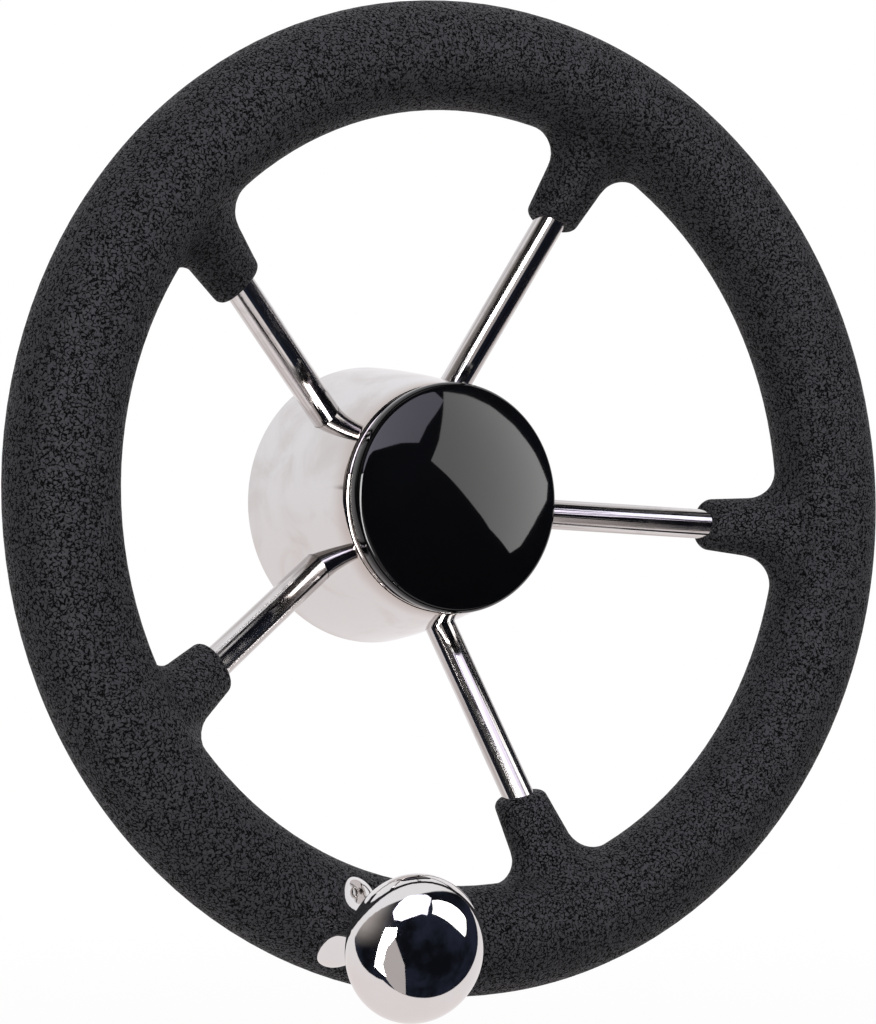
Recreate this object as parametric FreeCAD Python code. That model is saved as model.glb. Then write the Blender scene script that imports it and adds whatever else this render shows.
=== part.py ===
import FreeCAD, Part
import math
import os

# Five-spoke boat steering wheel with a turning knob, in millimetres.
# Every piece is built with the wheel lying on its back: +Z points to the driver, the origin is on the
# wheel's axis at the rear face of the hub core, and angles run anticlockwise as the driver sees them.
# stand_up then turns the finished wheel upright, with the driver in front of it, towards -Y.

Vector = FreeCAD.Vector
Rotation = FreeCAD.Rotation
Placement = FreeCAD.Placement

# Rim and grip
wheel_diameter = 343.0
grip_diameter = 37.3
rim_height = 69.0
rim_tube_diameter = 15.9
rim_tube_wall = 1.2

# Spokes
spoke_count = 5
spoke_diameter = 11.1
spoke_wall = 1.2
spoke_root_height = 9.74
spoke_lift = 3.2
first_spoke_angle = -3.8

# Bosses of the grip, round sections square to the wheel's radius, reaching inwards from the rim's middle
boss_reach = 44.45
boss_end_diameter = 18.7
boss_growth = 0.20
boss_blend = 11.5
boss_edge_round = 3.0

# Hub shell, a slightly crowned cone with a rounded lip in front
skirt_diameter = 103.2
skirt_drop = 8.7
shoulder_diameter = 81.6
lip_height = 48.4
lip_width = 4.2
shell_wall = 1.5
shell_crown = 0.9
shoulder_round = 2.6
skirt_edge_round = 0.5

# Hub core, bored 1 in 12 for a three-quarter inch shaft with a key
core_diameter = 38.0
core_rear_chamfer = 0.8
bore_diameter = 19.05
bore_taper = 1.0 / 12.0
keyway_width = 4.76
keyway_depth = 2.4
spigot_diameter = 30.0

# Plate that closes the shell round the core, below the centre cap
plate_thickness = 3.0
plate_to_cap = 3.1

# Centre cap and the ring that holds it behind the lip, heights counted from the lip
cap_overhang = 4.2
cap_edge_rise = 7.1
cap_dome_rise = 7.0
cap_edge_round = 3.2
cap_under_round = 1.5
cap_wall = 2.2
cap_tier_rise = 1.8
cap_tier_step = 2.8
cap_plug_depth = 5.2
cap_ring_section = 2.0
cap_ring_proud = 0.8

# Place of the knob on the rim
knob_angle = 247.2
knob_tilt = 3.0

# Foot of the knob, its heights counted from the grip's crest: an oval base that hugs the rim and
# flares up to a round neck
saddle_base_across_rim = 30.6
saddle_base_along_rim = 18.2
saddle_neck_diameter = 17.6
saddle_rise = 21.15
saddle_base_depth = 10.0
saddle_flare_start = -6.0
saddle_flare_end = 13.0
saddle_flare_steps = 4
saddle_edge_round = 0.8

# Knob
knob_diameter = 46.1
knob_equator_height = 21.0
knob_front_depth = 16.0
knob_shoulder_round = 9.0
knob_neck_diameter = 21.0
knob_neck_round = 0.8
knob_front_wall = 8.0

# Post, bush, gland and thrust washer of the knob
spindle_diameter = 10.0
spindle_head_thickness = 3.0
spindle_socket_depth = 4.0
spindle_thread_depth = 20.0
bush_wall = 3.05
gland_length = 3.6
thrust_washer_diameter = 15.0
thrust_washer_thickness = 1.5

# Screw through the rim, with its washers and sleeve
bolt_diameter = 8.0
bolt_engagement = 16.0
bolt_head_diameter = 13.0
bolt_head_height = 4.2
bolt_socket_width = 5.0
bolt_socket_depth = 2.6
bolt_seat_depth = 8.2
flat_washer_diameter = 16.0
flat_washer_thickness = 1.6
lock_washer_diameter = 14.4
lock_washer_thickness = 2.0
lock_washer_slit = 1.5
sleeve_wall = 1.8
sleeve_entry = 2.0

# Clearances
weld_gap = 0.10
mould_gap = 0.10
seat_gap = 0.10
bolt_clearance = 0.20
running_clearance = 0.05
knob_float = 0.30
spindle_head_clearance = 1.0
gland_clearance = 1.0
counterbore_clearance = 0.8

# Worked out from the sizes above
grip_radius = grip_diameter / 2
rim_radius = (wheel_diameter - grip_diameter) / 2
rim_tube_radius = rim_tube_diameter / 2
spoke_radius = spoke_diameter / 2
core_radius = core_diameter / 2
spoke_slope = (rim_height + spoke_lift - spoke_root_height) / (rim_radius - core_radius)
boss_end_radius = rim_radius - boss_reach
lip_opening = shoulder_diameter - 2 * lip_width
cap_foot = lip_height + seat_gap
cap_plug_end = cap_foot - cap_plug_depth
plate_front = cap_plug_end - plate_to_cap
plate_rear = plate_front - plate_thickness
shell_length = lip_height + skirt_drop
shell_slope = (skirt_diameter - shoulder_diameter) / 2 / shell_length
shell_wall_across = shell_wall * math.hypot(1.0, shell_slope)
saddle_top = grip_radius + saddle_rise
washer_base = saddle_top + seat_gap
knob_base = washer_base + thrust_washer_thickness + knob_float
knob_equator = knob_base + knob_equator_height
knob_pole = knob_equator + knob_front_depth
knob_bore_end = knob_pole - knob_front_wall
knob_bore_radius = spindle_diameter / 2 + running_clearance + bush_wall + seat_gap
spindle_head_radius = knob_bore_radius - spindle_head_clearance
spindle_base = saddle_top - spindle_socket_depth
spindle_end = knob_bore_end - knob_float
bolt_seat = -(grip_radius - bolt_seat_depth)
bolt_hole_radius = bolt_diameter / 2 + bolt_clearance
sleeve_radius = bolt_hole_radius + sleeve_wall


# Helpers

def near(value, target):
    # Equal within a hundredth of a millimetre, to pick edges by their place
    return abs(value - target) < 0.01


def turned(corners):
    # Solid turned about Z from a closed outline of (radius, height) corners
    points = [Vector(radius, 0, height) for radius, height in corners]
    face = Part.Face(Part.makePolygon(points + points[:1]))
    return face.revolve(Vector(0, 0, 0), Vector(0, 0, 1), 360)


def turned_edges(edges):
    # Solid turned about Z from edges that close an outline in the XZ plane
    face = Part.Face(Part.Wire(Part.__sortEdges__(edges)))
    return face.revolve(Vector(0, 0, 0), Vector(0, 0, 1), 360)


def line(start, end):
    return Part.makeLine(Vector(start[0], 0, start[1]), Vector(end[0], 0, end[1]))


def arc(start, middle, end):
    points = [Vector(radius, 0, height) for radius, height in (start, middle, end)]
    return Part.Arc(*points).toShape()


def disc(radius, low, high):
    return Part.makeCylinder(radius, high - low, Vector(0, 0, low))


def ring(outer_radius, inner_radius, low, high):
    return disc(outer_radius, low, high).cut(disc(inner_radius, low, high))


def circle_edges(shape, radius, height):
    # Circular edges about Z with this radius and height
    found = []
    for edge in shape.Edges:
        if edge.Degenerated or not isinstance(edge.Curve, Part.Circle):
            continue
        if near(edge.Curve.Radius, radius) and near(edge.Curve.Center.z, height):
            found.append(edge)
    return found


def rim_torus(section_radius):
    return Part.makeTorus(rim_radius, section_radius, Vector(0, 0, rim_height))


def spoke_angles():
    return [first_spoke_angle + 360.0 / spoke_count * index for index in range(spoke_count)]


def turned_to(shape, angle):
    placed = shape.copy()
    placed.rotate(Vector(0, 0, 0), Vector(0, 0, 1), angle)
    return placed


def spoke_height(radius):
    # Height of a spoke's axis at this distance from the wheel's axis
    return rim_height + spoke_lift + (radius - rim_radius) * spoke_slope


def spoke_rod(section_radius, start_radius, end_radius):
    # Round rod along the spoke's axis at angle 0, between two distances from the wheel's axis
    start = Vector(start_radius, 0, spoke_height(start_radius))
    end = Vector(end_radius, 0, spoke_height(end_radius))
    return Part.makeCylinder(section_radius, (end - start).Length, start, end - start)


def on_rim(shape):
    # From the knob's own axes, X outwards and Z along its axis, to its place on the rim
    angle = math.radians(knob_angle)
    centre = Vector(rim_radius * math.cos(angle), rim_radius * math.sin(angle), rim_height)
    along_rim = Vector(-math.sin(angle), math.cos(angle), 0)
    turn = Rotation(along_rim, knob_tilt).multiply(Rotation(Vector(0, 0, 1), knob_angle))
    placed = shape.copy()
    placed.Placement = Placement(centre, turn).multiply(placed.Placement)
    return placed


def rim_in_knob_axes(section_radius):
    # The rim's torus, seen from the knob's own axes
    level = Placement(Vector(0, 0, 0), Rotation(Vector(0, 1, 0), -knob_tilt))
    torus = Part.makeTorus(rim_radius, section_radius, Vector(-rim_radius, 0, 0))
    torus.Placement = level.multiply(torus.Placement)
    return torus


def stand_up(shape):
    placed = shape.copy()
    placed.rotate(Vector(0, 0, 0), Vector(1, 0, 0), 90)
    return placed


# Rim, grip and spokes

def boss_radius(radius):
    # Half the boss's thickness at this distance from the wheel's axis
    return (boss_end_diameter + boss_growth * (radius - boss_end_radius)) / 2


def boss():
    # One boss along the spoke at angle 0: round sections whose centres follow the spoke
    sections = []
    for radius in (boss_end_radius, rim_radius):
        centre = Vector(radius, 0, spoke_height(radius))
        edge = Part.makeCircle(boss_radius(radius), centre, Vector(1, 0, 0))
        sections.append(Part.Wire(edge))
    return Part.makeLoft(sections, True, True)


def on_rim_skin(point):
    across = math.hypot(point.x, point.y) - rim_radius
    return near(math.hypot(across, point.z - rim_height), grip_radius)


def on_boss_skin(point, angle):
    # Whether a point is on the round side of the boss along the spoke at this angle
    outwards = Vector(math.cos(math.radians(angle)), math.sin(math.radians(angle)), 0)
    radius = point.dot(outwards)
    sideways = point.y * outwards.x - point.x * outwards.y
    return near(math.hypot(sideways, point.z - spoke_height(radius)), boss_radius(radius))


def blend_edges(shape):
    # Edges where a boss runs into the rim, so on the skin of both
    found = []
    for edge in shape.Edges:
        points = edge.discretize(9)
        if not all(on_rim_skin(point) for point in points):
            continue
        for angle in spoke_angles():
            if all(on_boss_skin(point, angle) for point in points):
                found.append(edge)
    return found


def end_edges(shape):
    # Round edges of the bosses' end faces
    found = []
    for edge in shape.Edges:
        if isinstance(edge.Curve, Part.Circle) and near(edge.Curve.Radius, boss_end_diameter / 2):
            found.append(edge)
    return found


def make_grip():
    grip = rim_torus(grip_radius)
    one_boss = boss()
    for angle in spoke_angles():
        grip = grip.fuse(turned_to(one_boss, angle))
    grip = grip.makeFillet(boss_blend, blend_edges(grip))
    grip = grip.makeFillet(boss_edge_round, end_edges(grip))
    grip = grip.cut(rim_torus(rim_tube_radius + mould_gap))
    hole = spoke_rod(spoke_radius + mould_gap, boss_end_radius - grip_radius, rim_radius)
    for angle in spoke_angles():
        grip = grip.cut(turned_to(hole, angle))
    sleeve_hole = disc(sleeve_radius + mould_gap, -2 * grip_radius, 2 * grip_radius)
    counterbore_radius = flat_washer_diameter / 2 + counterbore_clearance
    counterbore = disc(counterbore_radius, -2 * grip_radius, bolt_seat)
    return grip.cut(on_rim(sleeve_hole)).cut(on_rim(counterbore))


def make_rim_tube():
    tube = rim_torus(rim_tube_radius).cut(rim_torus(rim_tube_radius - rim_tube_wall))
    hole = disc(sleeve_radius + mould_gap, -grip_radius, grip_radius)
    return tube.cut(on_rim(hole))


def make_spoke(angle):
    # Tube coped at both ends, to the core and to the rim tube
    start = core_radius - spoke_radius
    spoke = spoke_rod(spoke_radius, start, rim_radius)
    spoke = spoke.cut(spoke_rod(spoke_radius - spoke_wall, start, rim_radius))
    spoke = spoke.cut(disc(core_radius + weld_gap, -skirt_drop, lip_height))
    spoke = spoke.cut(rim_torus(rim_tube_radius + weld_gap))
    longest = max(spoke.Solids, key=lambda solid: solid.Volume)
    return turned_to(longest, angle)


# Hub

def shell_radius(height):
    # Outer radius of the shell's crowned cone at a height
    share = (lip_height - height) / shell_length
    crown = 4 * shell_crown * share * (1 - share)
    return shoulder_diameter / 2 + (lip_height - height) * shell_slope + crown


def shell_line(inset, low, high):
    # Arc along the shell's wall, this far inside its outer surface
    heights = (low, (low + high) / 2, high)
    return arc(*[(shell_radius(height) - inset, height) for height in heights])


def make_hub_shell():
    inside_height = lip_height - shell_wall
    inner_radius = shell_radius(inside_height) - shell_wall_across
    skirt_radius = shell_radius(-skirt_drop)
    shell = turned_edges([
        shell_line(0, -skirt_drop, lip_height),
        line((shell_radius(lip_height), lip_height), (lip_opening / 2, lip_height)),
        line((lip_opening / 2, lip_height), (lip_opening / 2, inside_height)),
        line((lip_opening / 2, inside_height), (inner_radius, inside_height)),
        shell_line(shell_wall_across, -skirt_drop, inside_height),
        line((skirt_radius - shell_wall_across, -skirt_drop), (skirt_radius, -skirt_drop)),
    ])
    outer = circle_edges(shell, shell_radius(lip_height), lip_height)
    shell = shell.makeFillet(shoulder_round, outer)
    inner = circle_edges(shell, inner_radius, inside_height)
    shell = shell.makeFillet(shoulder_round - shell_wall, inner)
    rear = circle_edges(shell, shell_radius(-skirt_drop), -skirt_drop)
    shell = shell.makeFillet(skirt_edge_round, rear)
    hole = spoke_rod(spoke_radius + weld_gap, core_radius, skirt_diameter / 2 + spoke_diameter)
    for angle in spoke_angles():
        shell = shell.cut(turned_to(hole, angle))
    return shell


def make_hub_core():
    bore_front = bore_diameter / 2 - plate_front * bore_taper / 2
    core = turned([
        (bore_diameter / 2, 0),
        (core_radius - core_rear_chamfer, 0),
        (core_radius, core_rear_chamfer),
        (core_radius, plate_rear - weld_gap),
        (spigot_diameter / 2, plate_rear - weld_gap),
        (spigot_diameter / 2, plate_front),
        (bore_front, plate_front),
    ])
    corners = [
        Vector(-keyway_width / 2, 0, 0),
        Vector(-keyway_width / 2, bore_diameter / 2 + keyway_depth, 0),
        Vector(-keyway_width / 2, bore_front + keyway_depth, plate_front),
        Vector(-keyway_width / 2, 0, plate_front),
    ]
    keyway = Part.Face(Part.makePolygon(corners + corners[:1])).extrude(Vector(keyway_width, 0, 0))
    return core.cut(keyway)


def make_hub_plate():
    rear_radius = shell_radius(plate_rear) - shell_wall_across - weld_gap
    front_radius = shell_radius(plate_front) - shell_wall_across - weld_gap
    inner_radius = spigot_diameter / 2 + weld_gap
    return turned([
        (inner_radius, plate_rear),
        (rear_radius, plate_rear),
        (front_radius, plate_front),
        (inner_radius, plate_front),
    ])


# Centre cap

def cap_ring_height():
    return lip_height - shell_wall - seat_gap - cap_ring_section / 2


def cap_plug_radius():
    return lip_opening / 2 - seat_gap


def dome(edge_radius, edge_height, rise):
    # Arc from the dome's edge to its top, and the top itself
    sphere_radius = (edge_radius ** 2 + rise ** 2) / (2 * rise)
    half_radius = edge_radius / 2
    drop = sphere_radius - math.sqrt(sphere_radius ** 2 - half_radius ** 2)
    middle = (half_radius, edge_height + rise - drop)
    return arc((edge_radius, edge_height), middle, (0, edge_height + rise))


def make_centre_cap():
    cap_radius = lip_opening / 2 + cap_overhang
    cap_edge_height = lip_height + cap_edge_rise
    tier_radius = cap_radius - cap_tier_step
    tier_height = lip_height + cap_tier_rise
    plug_radius = cap_plug_radius()
    groove_radius = plug_radius + cap_ring_proud - cap_ring_section - seat_gap
    groove_top = cap_ring_height() + cap_ring_section / 2 + seat_gap
    groove_low = cap_ring_height() - cap_ring_section / 2 - seat_gap
    hollow_radius = groove_radius - cap_wall
    hollow_edge = cap_edge_height - cap_wall
    top = cap_edge_height + cap_dome_rise
    corners = [
        (cap_radius, cap_edge_height),
        (cap_radius, tier_height),
        (tier_radius, tier_height),
        (tier_radius, cap_foot),
        (plug_radius, cap_foot),
        (plug_radius, groove_top),
        (groove_radius, groove_top),
        (groove_radius, groove_low),
        (plug_radius, groove_low),
        (plug_radius, cap_plug_end),
        (hollow_radius, cap_plug_end),
        (hollow_radius, hollow_edge),
    ]
    edges = [line(start, end) for start, end in zip(corners, corners[1:])]
    edges.append(dome(hollow_radius, hollow_edge, cap_dome_rise))
    edges.append(line((0, hollow_edge + cap_dome_rise), (0, top)))
    edges.append(dome(cap_radius, cap_edge_height, cap_dome_rise))
    cap = turned_edges(edges)
    cap = cap.makeFillet(cap_edge_round, circle_edges(cap, cap_radius, cap_edge_height))
    return cap.makeFillet(cap_under_round, circle_edges(cap, cap_radius, tier_height))


def make_cap_ring():
    centre_radius = cap_plug_radius() + cap_ring_proud - cap_ring_section / 2
    return Part.makeTorus(centre_radius, cap_ring_section / 2, Vector(0, 0, cap_ring_height()))


# Knob, in its own axes

def saddle_section(rise, share):
    # Outline of the foot at a height over the grip's crest, from its base's oval to its round neck
    across = saddle_base_across_rim + (saddle_neck_diameter - saddle_base_across_rim) * share
    along = saddle_base_along_rim + (saddle_neck_diameter - saddle_base_along_rim) * share
    outline = Part.Ellipse(Vector(0, 0, grip_radius + rise), across / 2, along / 2)
    return Part.Wire(outline.toShape())


def make_knob_saddle():
    sections = [saddle_section(-saddle_base_depth, 0)]
    for step in range(saddle_flare_steps + 1):
        way = step / saddle_flare_steps
        height = saddle_flare_start + (saddle_flare_end - saddle_flare_start) * way
        sections.append(saddle_section(height, way * way * (3 - 2 * way)))
    sections.append(saddle_section(saddle_rise, 1))
    foot = Part.makeLoft(sections, True)
    top = [edge for edge in foot.Edges if near(edge.BoundBox.ZMin, saddle_top)]
    foot = foot.makeFillet(saddle_edge_round, top)
    foot = foot.cut(rim_in_knob_axes(grip_radius + seat_gap))
    sleeve_seat = grip_radius + sleeve_entry + seat_gap
    foot = foot.cut(disc(sleeve_radius + seat_gap, 0, sleeve_seat))
    foot = foot.cut(disc(bolt_hole_radius, 0, saddle_top))
    socket = disc(spindle_diameter / 2 + seat_gap, spindle_base - seat_gap, saddle_top)
    return foot.cut(socket)


def make_knob_ball():
    # Flattened ball: a half ellipse in front, a round shoulder and a cone down to the neck behind
    radius = knob_diameter / 2
    neck_radius = knob_neck_diameter / 2
    front = Part.Ellipse(Vector(0, 0, knob_equator), radius, knob_front_depth)
    front.Axis = Vector(0, -1, 0)
    front.XAxis = Vector(1, 0, 0)
    front_arc = Part.Arc(front, 0, math.pi / 2).toBSpline().toShape()

    # Point where a line from the neck touches the shoulder's circle
    shoulder_centre = radius - knob_shoulder_round
    across = neck_radius - shoulder_centre
    down = knob_base - knob_equator
    bearing = math.atan2(down, across)
    touch = bearing + math.acos(knob_shoulder_round / math.hypot(across, down))
    touch_point = (
        shoulder_centre + knob_shoulder_round * math.cos(touch),
        knob_equator + knob_shoulder_round * math.sin(touch),
    )
    middle_point = (
        shoulder_centre + knob_shoulder_round * math.cos(touch / 2),
        knob_equator + knob_shoulder_round * math.sin(touch / 2),
    )
    edges = [
        front_arc,
        line((0, knob_pole), (0, knob_base)),
        line((0, knob_base), (neck_radius, knob_base)),
        line((neck_radius, knob_base), touch_point),
        arc(touch_point, middle_point, (radius, knob_equator)),
    ]
    ball = turned_edges(edges)
    ball = ball.makeFillet(knob_neck_round, circle_edges(ball, neck_radius, knob_base))
    return ball.cut(disc(knob_bore_radius, knob_base, knob_bore_end))


def make_knob_gland():
    outer = knob_bore_radius - seat_gap
    hole_radius = spindle_diameter / 2 + gland_clearance
    return ring(outer, hole_radius, knob_base, knob_base + gland_length)


def make_knob_bush():
    outer = knob_bore_radius - seat_gap
    inner = outer - bush_wall
    low = knob_base + gland_length + seat_gap
    return ring(outer, inner, low, spindle_end - spindle_head_thickness - knob_float)


def make_knob_spindle():
    post = disc(spindle_diameter / 2, spindle_base, spindle_end)
    head = disc(spindle_head_radius, spindle_end - spindle_head_thickness, spindle_end)
    thread = disc(bolt_diameter / 2, spindle_base, spindle_base + spindle_thread_depth)
    return post.fuse(head).removeSplitter().cut(thread)


def make_knob_washer():
    inner = spindle_diameter / 2 + seat_gap
    return ring(thrust_washer_diameter / 2, inner, washer_base, washer_base + thrust_washer_thickness)


def make_bolt_sleeve():
    low = bolt_seat
    high = grip_radius + sleeve_entry
    return ring(sleeve_radius, bolt_hole_radius, low, high)


def make_bolt_washer():
    high = bolt_seat - seat_gap
    return ring(flat_washer_diameter / 2, bolt_hole_radius, high - flat_washer_thickness, high)


def lock_washer_top():
    return bolt_seat - flat_washer_thickness - 2 * seat_gap


def make_bolt_lock_washer():
    high = lock_washer_top()
    low = high - lock_washer_thickness
    washer = ring(lock_washer_diameter / 2, bolt_hole_radius, low, high)
    slit = Part.makeBox(
        lock_washer_diameter,
        lock_washer_slit,
        lock_washer_thickness,
        Vector(0, -lock_washer_slit / 2, low),
    )
    return washer.cut(slit)


def make_knob_bolt():
    # Screw with a low round head and a hexagon socket
    head_top = lock_washer_top() - lock_washer_thickness - seat_gap
    head_end = head_top - bolt_head_height
    head = disc(bolt_head_diameter / 2, head_end, head_top)
    shank_radius = bolt_diameter / 2 - running_clearance
    shank = disc(shank_radius, head_top, spindle_base + bolt_engagement)
    corner = bolt_socket_width / math.sqrt(3.0)
    corners = []
    for index in range(6):
        angle = math.radians(60.0 * index)
        corners.append(Vector(corner * math.cos(angle), corner * math.sin(angle), head_end))
    hexagon = Part.Face(Part.makePolygon(corners + corners[:1]))
    socket = hexagon.extrude(Vector(0, 0, bolt_socket_depth))
    return head.fuse(shank).removeSplitter().cut(socket)


# All pieces by name

def make_pieces():
    pieces = {
        "grip": make_grip(),
        "rim_tube": make_rim_tube(),
        "hub_shell": make_hub_shell(),
        "hub_core": make_hub_core(),
        "hub_plate": make_hub_plate(),
        "centre_cap": make_centre_cap(),
        "cap_ring": make_cap_ring(),
        "knob_saddle": on_rim(make_knob_saddle()),
        "knob_washer": on_rim(make_knob_washer()),
        "knob_spindle": on_rim(make_knob_spindle()),
        "knob_ball": on_rim(make_knob_ball()),
        "knob_bush": on_rim(make_knob_bush()),
        "knob_gland": on_rim(make_knob_gland()),
        "bolt_sleeve": on_rim(make_bolt_sleeve()),
        "bolt_washer": on_rim(make_bolt_washer()),
        "bolt_lock_washer": on_rim(make_bolt_lock_washer()),
        "knob_bolt": on_rim(make_knob_bolt()),
    }
    for number, angle in enumerate(spoke_angles(), start=1):
        pieces["spoke_%d" % number] = make_spoke(angle)
    return pieces


def report(name, shape):
    box = shape.BoundBox
    low = (round(box.XMin, 2), round(box.YMin, 2), round(box.ZMin, 2))
    high = (round(box.XMax, 2), round(box.YMax, 2), round(box.ZMax, 2))
    print(name, len(shape.Solids), shape.isValid(), round(shape.Volume, 1), low, high)


os.makedirs("parts", exist_ok=True)
for node, piece in make_pieces().items():
    standing = stand_up(piece)
    report(node, standing)
    standing.exportStep("parts/%s.step" % node)
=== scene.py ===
import math

import bmesh
import bpy
from mathutils import Matrix, Vector


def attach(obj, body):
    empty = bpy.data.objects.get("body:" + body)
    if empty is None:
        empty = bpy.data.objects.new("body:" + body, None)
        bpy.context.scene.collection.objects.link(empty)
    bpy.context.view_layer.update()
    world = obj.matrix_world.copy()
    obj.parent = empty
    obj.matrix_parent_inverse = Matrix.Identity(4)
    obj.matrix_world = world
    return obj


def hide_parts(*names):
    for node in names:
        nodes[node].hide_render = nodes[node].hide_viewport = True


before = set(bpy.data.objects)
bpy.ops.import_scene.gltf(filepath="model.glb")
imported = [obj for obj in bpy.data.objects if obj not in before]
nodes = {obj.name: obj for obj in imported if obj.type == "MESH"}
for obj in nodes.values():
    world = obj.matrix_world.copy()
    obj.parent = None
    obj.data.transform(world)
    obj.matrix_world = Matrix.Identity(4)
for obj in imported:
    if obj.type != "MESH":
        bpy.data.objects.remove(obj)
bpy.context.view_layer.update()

# Boat steering wheel, in metres: +Y runs along the wheel's axis away from the driver, +Z is up.

# The photograph's camera, from the fit of the rim, hub and spokes to the picture
CAMERA_PLACE = Vector((-0.4226, -0.7763, -0.0412))
LOOK_YAW = math.radians(29.878)
LOOK_PITCH = math.radians(2.472)
LENS_MM = 83.74
SENSOR_MM = 36.0

FLOOR_HEIGHT = -0.42
FLOOR_SIZE = 12.0

# What polished surfaces mirror: the yaw of the room's dark front, and the knob, from which cards are placed
ROOM_FRONT = math.radians(172.0)
KNOB_PLACE = Vector((-0.060, -0.132, -0.144))


# The spokes' tubes: angle of the first, dish, and the height at which they leave the core
FIRST_SPOKE = -3.8
DISH = math.radians(24.9)
CORE_RADIUS = 0.0182
SPOKE_ROOT = 0.00974
SPOKE_RADIUS = 0.00555
STRIP_DISTANCE = 0.013

# Marks on the hub's polish, a dark smudge at the top and a painted highlight, a pale line low on the skirt:
# place, radii and tone
HUB_SMUDGE_AND_HIGHLIGHT = (
    ((-0.001, 0.002, 0.0512), (0.011, 0.006, 0.004), (0.33, 0.32, 0.32)),
    # Painted highlight: a pale line low on the skirt.
    ((0.012, 0.004, -0.0505), (0.010, 0.0016, 0.004), (0.97, 0.97, 0.97)),
)


# Node helpers

def new_material(name):
    material = bpy.data.materials.new(name)
    material.use_nodes = True
    tree = material.node_tree
    tree.nodes.clear()
    return material, tree


def add(tree, kind, inputs=None, **settings):
    """A node of this kind, with its settings, and its sockets given a value or linked to another socket."""
    node = tree.nodes.new(kind)
    for key, value in settings.items():
        setattr(node, key, value)
    for key, value in (inputs or {}).items():
        if isinstance(value, bpy.types.NodeSocket):
            tree.links.new(value, node.inputs[key])
        else:
            node.inputs[key].default_value = value
    return node


def math_node(tree, operation, first, second=None, clamp=False):
    inputs = {0: first}
    if second is not None:
        inputs[1] = second
    return add(tree, "ShaderNodeMath", inputs, operation=operation, use_clamp=clamp).outputs[0]


def ramp(tree, value, low, high, to_low=0.0, to_high=1.0):
    """Smooth step of a value between two levels."""
    node = add(tree, "ShaderNodeMapRange", {
        "Value": value,
        "From Min": low,
        "From Max": high,
        "To Min": to_low,
        "To Max": to_high,
    }, interpolation_type="SMOOTHSTEP")
    return node.outputs["Result"]


def noise(tree, vector, scale, detail=2.0, roughness=0.5, distortion=0.0):
    node = add(tree, "ShaderNodeTexNoise", {
        "Vector": vector,
        "Scale": scale,
        "Detail": detail,
        "Roughness": roughness,
        "Distortion": distortion,
    })
    return node.outputs["Fac"]


def mix_colour(tree, factor, first, second):
    node = add(tree, "ShaderNodeMix", {"Factor": factor}, data_type="RGBA")
    for socket, value in ((node.inputs[6], first), (node.inputs[7], second)):
        if isinstance(value, bpy.types.NodeSocket):
            tree.links.new(value, socket)
        else:
            socket.default_value = (*value, 1.0)
    return node.outputs[2]


def object_place(tree):
    return add(tree, "ShaderNodeTexCoord").outputs["Object"]


def stretched(tree, vector, scale):
    node = add(tree, "ShaderNodeMapping", {"Vector": vector, "Scale": scale})
    return node.outputs["Vector"]


def dot(tree, direction, vector):
    return add(tree, "ShaderNodeVectorMath", {0: direction, 1: vector}, operation="DOT_PRODUCT").outputs["Value"]


def weighted_sum(tree, pairs):
    """Sum of sockets, each times its weight."""
    total = None
    for socket, weight in pairs:
        term = math_node(tree, "MULTIPLY", socket, weight)
        total = term if total is None else math_node(tree, "ADD", total, term)
    return total


def finish_material(tree, shader_inputs, bump_height=None, bump_distance=0.0, bump_strength=1.0):
    """Principled shader with an optional bump, linked to the output."""
    shader = add(tree, "ShaderNodeBsdfPrincipled", shader_inputs)
    if bump_height is not None:
        bump = add(tree, "ShaderNodeBump", {
            "Height": bump_height,
            "Distance": bump_distance,
            "Strength": bump_strength,
        })
        tree.links.new(bump.outputs["Normal"], shader.inputs["Normal"])
    add(tree, "ShaderNodeOutputMaterial", {"Surface": shader.outputs["BSDF"]})


# Materials

def make_foam():
    """Moulded black foam: pale plateaus parted by short wormlike creases, painted near black as the shade that
    falls in them, with fine grit.
    """
    material, tree = new_material("grip_foam")
    place = object_place(tree)
    bend = add(tree, "ShaderNodeTexNoise", {"Vector": place, "Scale": 620.0, "Detail": 1.0})
    bent = add(tree, "ShaderNodeVectorMath", {
        0: bend.outputs["Color"],
        1: (0.0021, 0.0021, 0.0021),
        2: place,
    }, operation="MULTIPLY_ADD").outputs["Vector"]
    cells = add(tree, "ShaderNodeTexVoronoi", {"Vector": bent, "Scale": 760.0}, feature="DISTANCE_TO_EDGE")
    crease_and_painted_shade = ramp(tree, cells.outputs["Distance"], 0.045, 0.20, 1.0, 0.0)
    whole = noise(tree, place, 940.0, 1.0, 0.5)
    crease_and_painted_shade = math_node(tree, "MULTIPLY", crease_and_painted_shade, ramp(tree, whole, 0.36, 0.50))
    pillow = noise(tree, place, 980.0, 1.0, 0.5)
    grit = noise(tree, place, 2600.0, 2.0, 0.6)
    height = weighted_sum(tree, [(crease_and_painted_shade, -1.0), (pillow, 1.3), (grit, 0.22)])
    patches = noise(tree, place, 28.0, 3.0, 0.55)
    base = mix_colour(tree, patches, (0.0330, 0.0320, 0.0365), (0.0460, 0.0450, 0.0510))
    # Painted shade: the creases are painted near black, as the shade that falls in them.
    base = mix_colour(tree, crease_and_painted_shade, base, (0.0013, 0.0013, 0.0015))
    rough = math_node(tree, "MAXIMUM", ramp(tree, grit, 0.3, 0.7, 0.40, 0.54), ramp(tree, crease_and_painted_shade, 0.2, 0.9))
    finish_material(tree, {
        "Base Color": base,
        "Roughness": rough,
        "Specular IOR Level": 0.09,
    }, height, 0.00034, 1.0)
    return material


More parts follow.
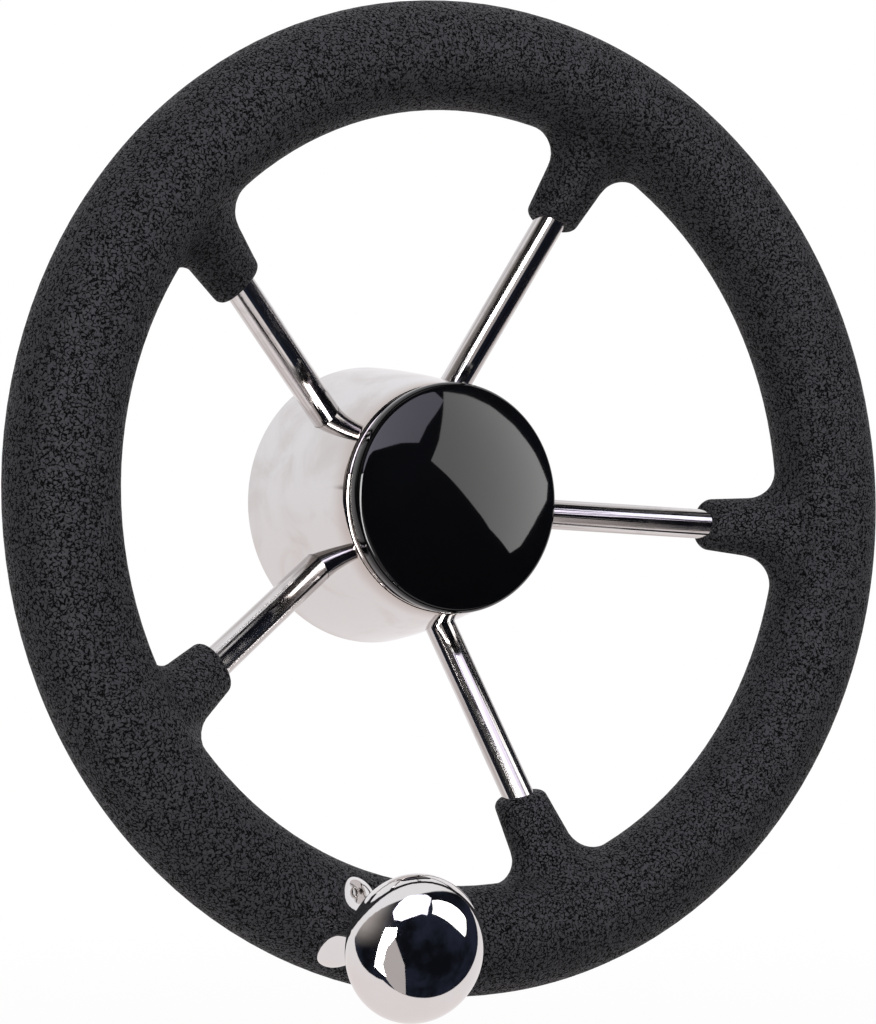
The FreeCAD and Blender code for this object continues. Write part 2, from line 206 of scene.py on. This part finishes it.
def make_polished_steel(name, cloud=0.35, level=0.62, smudges_and_highlights=(), warm=None):
    """Mirror-polished stainless steel with cloudy smudges, hairlines, marks that are smudges or painted
    highlights, and a warm tint along the axis.

    A mark is a place, three radii and the tone painted there: a smudge, or a painted highlight.
    """
    material, tree = new_material(name)
    place = object_place(tree)
    clouds = noise(tree, place, 42.0, 4.0, 0.55, 0.6)
    smears = noise(tree, stretched(tree, place, (60.0, 190.0, 60.0)), 1.0, 3.0, 0.6)
    hairlines = noise(tree, stretched(tree, place, (400.0, 5200.0, 400.0)), 1.0, 2.0, 0.6)
    stain = ramp(tree, clouds, 0.42, 0.74)
    bright = (level, level * 0.985, level * 0.978)
    dull = (level * (1.0 - 0.28 * cloud), level * (0.955 - 0.28 * cloud), level * (0.93 - 0.28 * cloud))
    base = mix_colour(tree, stain, bright, dull)
    if warm:
        near_end = add(tree, "ShaderNodeSeparateXYZ", {"Vector": place}).outputs["Y"]
        base = mix_colour(tree, ramp(tree, near_end, warm[0], warm[1], 0.0, 0.8), base,
                          (level * 0.74, level * 0.66, level * 0.61))
    ragged = noise(tree, place, 260.0, 3.0, 0.6)
    for centre, radii, tone in smudges_and_highlights:
        away = add(tree, "ShaderNodeVectorMath", {0: place, 1: centre}, operation="SUBTRACT").outputs["Vector"]
        away = add(tree, "ShaderNodeVectorMath", {0: away, 1: radii}, operation="DIVIDE").outputs["Vector"]
        away = add(tree, "ShaderNodeVectorMath", {0: away}, operation="LENGTH").outputs["Value"]
        edge = weighted_sum(tree, [(away, 1.0), (ragged, -0.9)])
        # Each mark paints its tone over the steel: a smudge, or a painted highlight.
        base = mix_colour(tree, ramp(tree, edge, 0.0, 0.62, 0.55, 0.0), base, tone)
    rough = ramp(tree, smears, 0.35, 0.8, 0.035, 0.035 + 0.12 * cloud)
    height = math_node(tree, "ADD", math_node(tree, "MULTIPLY", hairlines, 0.05), clouds)
    finish_material(tree, {
        "Base Color": base,
        "Metallic": 1.0,
        "Roughness": rough,
    }, height, 0.00004, 0.35)
    return material


def spoke_direction(number):
    """Direction of a spoke's tube, outwards."""
    turn = math.radians(FIRST_SPOKE + 72.0 * (number - 1))
    return Vector((math.cos(turn) * math.cos(DISH), -math.sin(DISH), math.sin(turn) * math.cos(DISH)))


def make_spoke_steel(number):
    """Drawn and polished tube: fine lines along the spoke part the reflections into light and dark threads."""
    material, tree = new_material("spoke_steel_%d" % number)
    place = object_place(tree)
    along = spoke_direction(number)
    across = Vector((-along.z, 0.0, along.x)).normalized()
    deep = along.cross(across)
    lines_at = add(tree, "ShaderNodeCombineXYZ", {
        "X": dot(tree, along, place),
        "Y": dot(tree, across, place),
        "Z": dot(tree, deep, place),
    }).outputs["Vector"]
    threads = noise(tree, stretched(tree, lines_at, (5.0, 620.0, 620.0)), 1.0, 2.0, 0.55)
    hairlines = noise(tree, stretched(tree, lines_at, (14.0, 4200.0, 4200.0)), 1.0, 1.0, 0.5)
    clouds = noise(tree, place, 60.0, 4.0, 0.6, 0.8)
    bands = noise(tree, stretched(tree, lines_at, (9.0, 360.0, 360.0)), 1.0, 2.0, 0.6)
    base = mix_colour(tree, ramp(tree, bands, 0.38, 0.66), (0.74, 0.725, 0.72), (0.46, 0.425, 0.41))
    base = mix_colour(tree, ramp(tree, clouds, 0.50, 0.72, 0.0, 0.5), base, (0.40, 0.375, 0.365))
    rough = ramp(tree, clouds, 0.35, 0.75, 0.07, 0.17)
    height = weighted_sum(tree, [(threads, 1.0), (hairlines, 0.16)])
    finish_material(tree, {
        "Base Color": base,
        "Metallic": 1.0,
        "Roughness": rough,
    }, height, 0.00013, 1.0)
    return material


def make_turned_steel():
    """Turned or drawn stainless steel: satin, with fine lines round the axis."""
    material, tree = new_material("turned_steel")
    place = object_place(tree)
    parts = add(tree, "ShaderNodeSeparateXYZ", {"Vector": place})
    squares = math_node(tree, "ADD",
                        math_node(tree, "POWER", parts.outputs["X"], 2.0),
                        math_node(tree, "POWER", parts.outputs["Z"], 2.0))
    radius = math_node(tree, "SQRT", squares)
    lines_at = add(tree, "ShaderNodeCombineXYZ", {"X": radius, "Y": parts.outputs["Y"]}).outputs["Vector"]
    lines = noise(tree, stretched(tree, lines_at, (5200.0, 5200.0, 1.0)), 1.0, 2.0, 0.7)
    tone = noise(tree, place, 90.0, 3.0, 0.5)
    base = mix_colour(tree, tone, (0.50, 0.49, 0.48), (0.60, 0.59, 0.575))
    rough = ramp(tree, lines, 0.3, 0.7, 0.20, 0.36)
    finish_material(tree, {
        "Base Color": base,
        "Metallic": 1.0,
        "Roughness": rough,
    }, lines, 0.00002, 0.5)
    return material


def make_cap_plastic():
    """Black gloss plastic: a faint ripple of the moulding and a few specks of dust."""
    material, tree = new_material("cap_plastic")
    place = object_place(tree)
    ripple = noise(tree, place, 38.0, 2.0, 0.45)
    cells = add(tree, "ShaderNodeTexVoronoi", {"Vector": place, "Scale": 110.0, "Randomness": 1.0})
    chosen = ramp(tree, noise(tree, place, 95.0, 0.0), 0.60, 0.62)
    speck = ramp(tree, cells.outputs["Distance"], 0.0, 0.035, 1.0, 0.0)
    speck = math_node(tree, "MULTIPLY", speck, chosen)
    base = mix_colour(tree, speck, (0.0022, 0.0022, 0.0026), (0.10, 0.10, 0.11))
    rough = ramp(tree, ripple, 0.3, 0.7, 0.03, 0.05)
    finish_material(tree, {
        "Base Color": base,
        "Roughness": rough,
        "IOR": 1.50,
    }, ripple, 0.00009, 0.6)
    return material


def make_rubber(name, base, low_rough, high_rough):
    material, tree = new_material(name)
    place = object_place(tree)
    tone = noise(tree, place, 300.0, 3.0, 0.6)
    colour = mix_colour(tree, tone, base, tuple(1.5 * value for value in base))
    finish_material(tree, {
        "Base Color": colour,
        "Roughness": ramp(tree, tone, 0.3, 0.7, low_rough, high_rough),
    }, tone, 0.00002, 0.5)
    return material


def paint(names, material):
    for name in names:
        mesh = nodes[name].data
        mesh.materials.clear()
        mesh.materials.append(material)


foam = make_foam()
hub_steel = make_polished_steel("hub_steel", 0.50, 0.72, HUB_SMUDGE_AND_HIGHLIGHT, (-0.039, -0.0478))
knob_steel = make_polished_steel("knob_steel", 0.12, 0.76)
turned_steel = make_turned_steel()
cap_plastic = make_cap_plastic()

paint(["grip"], foam)
paint(["hub_shell"], hub_steel)
paint(["knob_ball", "knob_saddle"], knob_steel)
for number in range(1, 6):
    paint(["spoke_%d" % number], make_spoke_steel(number))
paint(["hub_core", "hub_plate", "rim_tube", "knob_spindle", "knob_gland", "bolt_sleeve", "bolt_washer",
       "bolt_lock_washer", "knob_bolt"], turned_steel)
paint(["centre_cap"], cap_plastic)
paint(["cap_ring"], make_rubber("seal_rubber", (0.018, 0.018, 0.018), 0.45, 0.6))
paint(["knob_bush", "knob_washer"], make_rubber("bearing_plastic", (0.012, 0.012, 0.012), 0.3, 0.45))


# Pieces that replace nodes of the frame

def arc_points(centre, radius, start, end, count):
    """Points of an arc in the (radius, height) plane, angles in radians from outwards, both ends included."""
    points = []
    for index in range(count + 1):
        angle = start + (end - start) * index / count
        points.append((centre[0] + radius * math.cos(angle), centre[1] + radius * math.sin(angle)))
    return points


def lathe(name, profile, segments, sharp_angle):
    """Piece turned about the wheel's axis from (radius, height) points, which start and end on the axis."""
    mesh = bpy.data.meshes.new(name)
    work = bmesh.new()
    rings = []
    for radius, height in profile:
        if radius < 1e-7:
            rings.append([work.verts.new((0.0, -height, 0.0))])
            continue
        ring = []
        for index in range(segments):
            angle = 2.0 * math.pi * index / segments
            ring.append(work.verts.new((radius * math.cos(angle), -height, radius * math.sin(angle))))
        rings.append(ring)
    for first, second in zip(rings, rings[1:]):
        for index in range(segments):
            following = (index + 1) % segments
            corners = [first[index % len(first)], first[following % len(first)],
                       second[following % len(second)], second[index % len(second)]]
            unique = list(dict.fromkeys(corners))
            work.faces.new(unique)
    bmesh.ops.recalc_face_normals(work, faces=work.faces)
    for face in work.faces:
        face.smooth = True
    for edge in work.edges:
        if len(edge.link_faces) == 2 and edge.calc_face_angle() > sharp_angle:
            edge.smooth = False
    work.to_mesh(mesh)
    work.free()
    piece = bpy.data.objects.new(name, mesh)
    bpy.context.scene.collection.objects.link(piece)
    return piece


def dome_centre(edge_radius, edge_height, rise):
    """Radius of a dome's sphere, and the height of its centre."""
    radius = (edge_radius ** 2 + rise ** 2) / (2.0 * rise)
    return radius, edge_height + rise - radius


def make_cap():
    """Domed centre cap with an eased edge, a thin tier under it and the plug that holds it in the lip."""
    outer, edge_height, rise = 0.0408, 0.0555, 0.0070
    edge_round, under_round = 0.0032, 0.0015
    tier, tier_height, foot = 0.0380, 0.0502, 0.0485
    plug, plug_end = 0.0365, 0.0433
    groove, groove_top, groove_low = 0.0352, 0.0469, 0.0447
    hollow, hollow_edge = 0.0330, 0.0533
    sphere, middle = dome_centre(outer, edge_height, rise)
    round_radius = outer - edge_round
    round_height = middle + math.sqrt((sphere - edge_round) ** 2 - round_radius ** 2)
    touch = math.atan2(round_height - middle, round_radius)
    profile = arc_points((0.0, middle), sphere, math.pi / 2, touch, 48)
    profile[0] = (0.0, profile[0][1])
    profile += arc_points((round_radius, round_height), edge_round, touch, 0.0, 14)[1:]
    profile += arc_points((outer - under_round, tier_height + under_round), under_round, 0.0, -math.pi / 2, 8)
    profile += [(tier, tier_height), (tier, foot), (plug, foot), (plug, groove_top), (groove, groove_top),
                (groove, groove_low), (plug, groove_low), (plug, plug_end), (hollow, plug_end)]
    sphere, middle = dome_centre(hollow, hollow_edge, rise)
    touch = math.atan2(hollow_edge - middle, hollow)
    inside = arc_points((0.0, middle), sphere, touch, math.pi / 2, 16)
    inside[-1] = (0.0, inside[-1][1])
    cap = lathe("cap_dome", profile + inside, 288, math.radians(28.0))
    cap.data.materials.append(cap_plastic)
    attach(cap, "wheel")
    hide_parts("centre_cap")
    return cap


make_cap()


# Studio

def make_world():
    """White to the camera, a plain level for matt surfaces, and a pale room with a dark front for mirrors."""
    world = bpy.data.worlds.new("studio")
    bpy.context.scene.world = world
    world.use_nodes = True
    tree = world.node_tree
    tree.nodes.clear()
    direction = add(tree, "ShaderNodeTexCoord").outputs["Generated"]
    front = dot(tree, direction, (math.sin(ROOM_FRONT), math.cos(ROOM_FRONT), 0.0))
    left = dot(tree, direction, (math.cos(ROOM_FRONT), -math.sin(ROOM_FRONT), 0.0))
    height = dot(tree, direction, (0.0, 0.0, 1.0))
    level = add(tree, "ShaderNodeVectorMath", {0: direction, 1: (1.0, 1.0, 0.0)}, operation="MULTIPLY")
    reach = add(tree, "ShaderNodeVectorMath", {0: level.outputs["Vector"]}, operation="LENGTH").outputs["Value"]
    ahead = weighted_sum(tree, [(front, 1.73), (height, 1.0)])
    aside = weighted_sum(tree, [(front, 0.77), (left, 0.57), (height, 1.0)])
    above_table = math_node(tree, "MAXIMUM", ahead, aside)
    below_roof = weighted_sum(tree, [(reach, 1.10), (front, 1.60), (left, 0.28), (height, -1.0)])
    dark = math_node(tree, "MULTIPLY", ramp(tree, above_table, 0.0, 0.03), ramp(tree, below_roof, 0.0, 0.12))
    turn = math_node(tree, "ARCTAN2", left, front)
    side_light = math_node(tree, "MULTIPLY", ramp(tree, turn, 0.62, 2.1), ramp(tree, height, -0.05, 0.55))
    depth = ramp(tree, noise(tree, direction, 1.6, 3.0, 0.6), 0.36, 0.66)
    walls = mix_colour(tree, depth, (0.005, 0.0055, 0.008), (0.018, 0.022, 0.038))
    room = mix_colour(tree, side_light, walls, (0.46, 0.42, 0.40))
    tent = mix_colour(tree, ramp(tree, height, -0.6, 0.6), (0.91, 0.86, 0.865), (0.95, 0.94, 0.965))
    mirror = mix_colour(tree, dark, tent, room)
    path = add(tree, "ShaderNodeLightPath")
    seen = add(tree, "ShaderNodeBackground", {"Color": (1.0, 1.0, 1.0, 1.0), "Strength": 1.0})
    glossy = add(tree, "ShaderNodeBackground", {"Color": mirror, "Strength": 1.0})
    matt = add(tree, "ShaderNodeBackground", {"Color": (1.0, 1.0, 1.0, 1.0), "Strength": 0.22})
    lit = add(tree, "ShaderNodeMixShader", {
        0: path.outputs["Is Glossy Ray"],
        1: matt.outputs["Background"],
        2: glossy.outputs["Background"],
    })
    camera_or_through = math_node(tree, "MAXIMUM", path.outputs["Is Camera Ray"],
                                  path.outputs["Is Transmission Ray"])
    both = add(tree, "ShaderNodeMixShader", {
        0: camera_or_through,
        1: lit.outputs["Shader"],
        2: seen.outputs["Background"],
    })
    add(tree, "ShaderNodeOutputWorld", {"Surface": both.outputs["Shader"]})


def emission_material(name, colour, strength, rise, low, high):
    """Light of a panel, which changes by this share each way between two places along X."""
    material, tree = new_material(name)
    along = add(tree, "ShaderNodeSeparateXYZ", {"Vector": object_place(tree)}).outputs["X"]
    level = ramp(tree, along, low, high, strength * (1.0 - rise), strength * (1.0 + rise))
    glow = add(tree, "ShaderNodeEmission", {"Color": (*colour, 1.0), "Strength": level})
    add(tree, "ShaderNodeOutputMaterial", {"Surface": glow.outputs["Emission"]})
    return material


def make_panel(name, corners, strength, colour=(1.0, 1.0, 1.0), rise=0.0):
    """Flat softbox, seen in polished surfaces only."""
    corners = [Vector(corner) for corner in corners]
    low, high = min(corner.x for corner in corners), max(corner.x for corner in corners)
    mesh = bpy.data.meshes.new(name)
    mesh.from_pydata(corners, [], [tuple(range(len(corners)))])
    mesh.materials.append(emission_material(name, colour, strength, rise, low, high))
    panel = bpy.data.objects.new(name, mesh)
    bpy.context.scene.collection.objects.link(panel)
    panel.visible_camera = False
    panel.visible_diffuse = False
    panel.visible_shadow = False
    panel.visible_transmission = False
    return panel


def towards(yaw, elevation):
    """Direction with this yaw from +Y and this elevation, in degrees."""
    yaw, elevation = math.radians(yaw), math.radians(elevation)
    return Vector((
        math.sin(yaw) * math.cos(elevation),
        math.cos(yaw) * math.cos(elevation),
        math.sin(elevation),
    ))


def make_card(name, directions, distance, strength, colour=(1.0, 1.0, 1.0)):
    """Panel whose corners lie in these directions from the knob."""
    corners = [KNOB_PLACE + distance * towards(yaw, elevation) for yaw, elevation in directions]
    return make_panel(name, corners, strength, colour)


def make_strip(number, name, first, second, strength):
    """Narrow card beside a spoke, which its tube mirrors between these two directions."""
    along = spoke_direction(number)
    turn = math.radians(FIRST_SPOKE + 72.0 * (number - 1))
    ends = []
    for radius in (0.063, 0.122):
        height = SPOKE_ROOT + (radius - CORE_RADIUS) * math.tan(DISH)
        ends.append(Vector((radius * math.cos(turn), -height, radius * math.sin(turn))))
    look = (ends[0] + ends[1]) / 2 - CAMERA_PLACE
    look = (look - look.dot(along) * along).normalized()
    offsets = []
    for direction in (towards(*first), towards(*second)):
        sideways = direction - direction.dot(along) * along
        aside = sideways.normalized()
        outward = (aside - look).normalized()
        facing = outward.dot(aside) * SPOKE_RADIUS
        run = math.sqrt(facing ** 2 + STRIP_DISTANCE ** 2 - SPOKE_RADIUS ** 2) - facing
        offsets.append(outward * SPOKE_RADIUS + direction * run / sideways.length)
    corners = [ends[0] + offsets[0], ends[1] + offsets[0], ends[1] + offsets[1], ends[0] + offsets[1]]
    return make_panel(name, corners, strength, (1.0, 0.95, 0.93))


def make_floor():
    half = FLOOR_SIZE / 2
    mesh = bpy.data.meshes.new("floor")
    corners = [(-half, -half, FLOOR_HEIGHT), (half, -half, FLOOR_HEIGHT), (half, half, FLOOR_HEIGHT),
               (-half, half, FLOOR_HEIGHT)]
    mesh.from_pydata(corners, [], [(0, 1, 2, 3)])
    material, tree = new_material("floor")
    tone = noise(tree, object_place(tree), 3.0, 2.0)
    colour = mix_colour(tree, tone, (0.90, 0.90, 0.90), (0.93, 0.93, 0.93))
    matt = add(tree, "ShaderNodeBsdfDiffuse", {"Color": colour})
    glow = add(tree, "ShaderNodeEmission", {"Color": (1.0, 1.0, 1.0, 1.0), "Strength": 1.0})
    path = add(tree, "ShaderNodeLightPath")
    flat = add(tree, "ShaderNodeVectorMath", {0: object_place(tree)}, operation="LENGTH").outputs["Value"]
    fade = ramp(tree, flat, 0.7, 2.2, 0.94, 1.0)
    share = math_node(tree, "MULTIPLY", path.outputs["Is Camera Ray"], fade)
    both = add(tree, "ShaderNodeMixShader", {0: share, 1: matt.outputs[0], 2: glow.outputs[0]})
    add(tree, "ShaderNodeOutputMaterial", {"Surface": both.outputs[0]})
    mesh.materials.append(material)
    floor = bpy.data.objects.new("floor", mesh)
    bpy.context.scene.collection.objects.link(floor)
    floor.visible_glossy = False


def make_lamp(name, place, target, size, watts):
    lamp = bpy.data.lights.new(name, "AREA")
    lamp.shape = "DISK"
    lamp.size = size
    lamp.energy = watts
    holder = bpy.data.objects.new(name, lamp)
    holder.location = place
    aim = Vector(target) - Vector(place)
    holder.rotation_mode = "QUATERNION"
    holder.rotation_quaternion = aim.to_track_quat("-Z", "Y")
    bpy.context.scene.collection.objects.link(holder)
    holder.visible_glossy = False
    return holder


def make_camera():
    camera = bpy.data.cameras.new("camera")
    camera.lens = LENS_MM
    camera.sensor_width = SENSOR_MM
    camera.sensor_fit = "AUTO"
    camera.clip_start = 0.01
    camera.clip_end = 50.0
    holder = bpy.data.objects.new("camera", camera)
    bpy.context.scene.collection.objects.link(holder)
    look = Vector((
        math.sin(LOOK_YAW) * math.cos(LOOK_PITCH),
        math.cos(LOOK_YAW) * math.cos(LOOK_PITCH),
        math.sin(LOOK_PITCH),
    ))
    holder.location = CAMERA_PLACE
    holder.rotation_mode = "QUATERNION"
    holder.rotation_quaternion = look.to_track_quat("-Z", "Y")
    bpy.context.scene.camera = holder


make_world()
make_floor()
make_panel("softbox_right", [
    (0.240, -0.485, 0.395), (0.320, -0.445, 0.370), (0.405, -0.405, 0.325), (0.485, -0.360, 0.250),
    (0.550, -0.325, 0.170), (0.600, -0.295, 0.078), (0.575, -0.297, 0.028), (0.505, -0.320, -0.025),
    (0.420, -0.345, -0.103), (0.380, -0.360, -0.122), (0.292, -0.405, -0.060), (0.214, -0.448, 0.023),
    (0.159, -0.479, 0.084), (0.118, -0.502, 0.128), (0.158, -0.493, 0.196), (0.195, -0.490, 0.285),
], 3.0, (1.0, 1.0, 0.99), 0.28)
make_panel("softbox_left", [
    (0.143, -0.750, 0.278), (0.135, -0.537, 0.261), (0.150, -0.422, 0.259), (0.150, -0.350, 0.252),
    (0.100, -0.290, 0.233), (-0.070, -0.240, 0.171), (-0.147, -0.265, 0.147), (-0.223, -0.314, 0.122),
    (-0.267, -0.431, 0.115), (-0.222, -0.545, 0.138), (-0.088, -0.603, 0.188), (0.037, -0.637, 0.234),
], 2.3, (0.95, 0.92, 1.12), -0.25)
make_card("light_strip", [
    (-153.0, 24.0), (-133.0, 25.5), (-125.5, 2.5), (-117.0, -22.5), (-135.5, -35.0), (-132.0, -20.0),
    (-139.0, 0.0), (-152.0, 13.0),
], 0.9, 14.0)
make_card("pale_card", [
    (-151.0, 12.0), (-139.0, 0.0), (-132.0, -20.0), (-135.5, -38.0), (-150.0, -53.0), (-172.0, -58.0),
    (-166.0, -20.0),
], 2.5, 0.52, (1.0, 0.93, 0.92))
make_lamp("key", (-1.45, -1.35, 0.75), (0.0, -0.05, 0.0), 1.1, 20.0)
make_lamp("top", (0.25, -0.80, 0.95), (0.02, -0.05, 0.05), 0.6, 12.0)
make_camera()

scene = bpy.context.scene
scene.view_settings.view_transform = "Standard"
